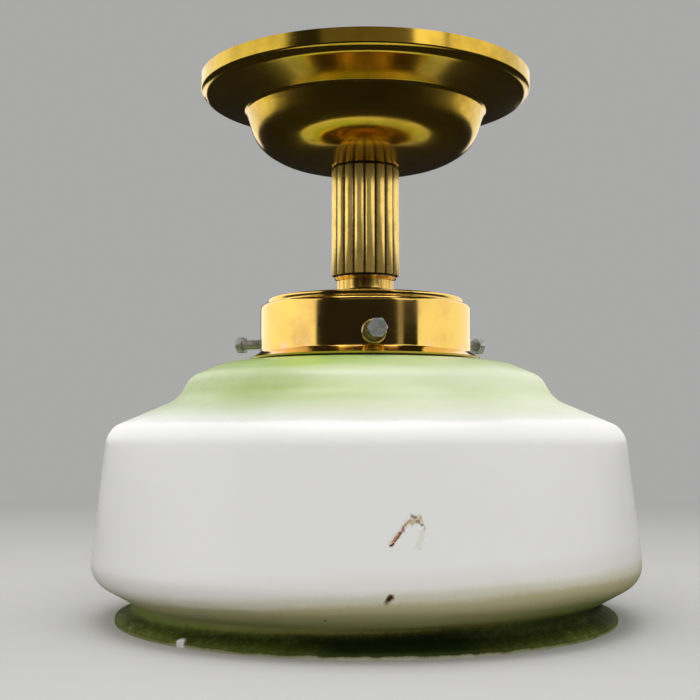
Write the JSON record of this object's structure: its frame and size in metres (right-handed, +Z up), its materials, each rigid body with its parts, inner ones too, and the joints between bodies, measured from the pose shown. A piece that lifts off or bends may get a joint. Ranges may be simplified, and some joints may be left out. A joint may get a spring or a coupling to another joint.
{
  "type": "ceiling lamp",
  "caption": "Semi-flush brass ceiling lamp: ceiling rose, short reeded column, screw gallery and an open opal glass shade with green bands.",
  "frame": {"origin": "centre of the ceiling plane, midway between the two ceiling screws, on the axis of the threaded tube", "axes": "+Z up into the ceiling, along the lamp axis; -Y towards the front gallery screw; +X along the mounting bar"},
  "size_m": [0.2664, 0.2664, 0.2682],
  "materials": {
    "bar_steel": "satin",
    "hardware_brass": "satin",
    "porcelain": "gloss",
    "zinc_steel": "satin",
    "rose_brass": "satin, slightly tarnished",
    "column_brass": "fine grain",
    "gallery_brass": "polished",
    "holder_brass": "satin",
    "contact_brass": "satin",
    "brown_insulation": "matt",
    "blue_insulation": "matt",
    "opal_glass": "satin opal glass with green fading bands"
  },
  "bodies": {
    "lamp": {"mounting_bar": "bar_steel", "bar_nuts": "hardware_brass", "terminal_block": "porcelain", "terminal_tubes": "hardware_brass", "terminal_screws": "zinc_steel", "block_screw": "zinc_steel", "ceiling_rose": "rose_brass", "rose_washer": "hardware_brass", "rose_nut": "hardware_brass", "threaded_tube": "hardware_brass", "column_bushes": "hardware_brass", "fluted_column": "column_brass", "gallery": "gallery_brass", "screw_bosses": "gallery_brass", "gallery_washer": "hardware_brass", "gallery_nut": "hardware_brass", "holder_cap": "holder_brass", "holder_grub_screw": "zinc_steel", "holder_shell": "holder_brass", "holder_insulator": "porcelain", "insulating_ring": "porcelain", "screw_sleeve": "contact_brass", "contact_strip": "contact_brass", "holder_terminals": "contact_brass", "holder_terminal_screws": "zinc_steel", "live_wire": "brown_insulation", "neutral_wire": "blue_insulation", "glass_shade": "opal_glass"},
    "front_screw": {"gallery_screw_front": "zinc_steel"},
    "right_screw": {"gallery_screw_right": "zinc_steel"},
    "left_screw": {"gallery_screw_left": "zinc_steel"},
    "contact": {"centre_contact": "contact_brass"}
  },
  "joints": [
    {"name": "front_screw_back_off", "type": "slide", "parent": "lamp", "child": "front_screw", "axis": [0, -1, 0], "range_m": [0, 0.0065]},
    {"name": "right_screw_back_off", "type": "slide", "parent": "lamp", "child": "right_screw", "axis": [0.866, 0.5, 0], "range_m": [0, 0.0065]},
    {"name": "left_screw_back_off", "type": "slide", "parent": "lamp", "child": "left_screw", "axis": [-0.866, 0.5, 0], "range_m": [0, 0.0065]},
    {"name": "centre_contact_press", "type": "slide", "parent": "lamp", "child": "contact", "axis": [0, 0, 1], "range_m": [0, 0.0015], "stiffness_N_per_m": 600, "springref_m": -0.001}
  ]
}
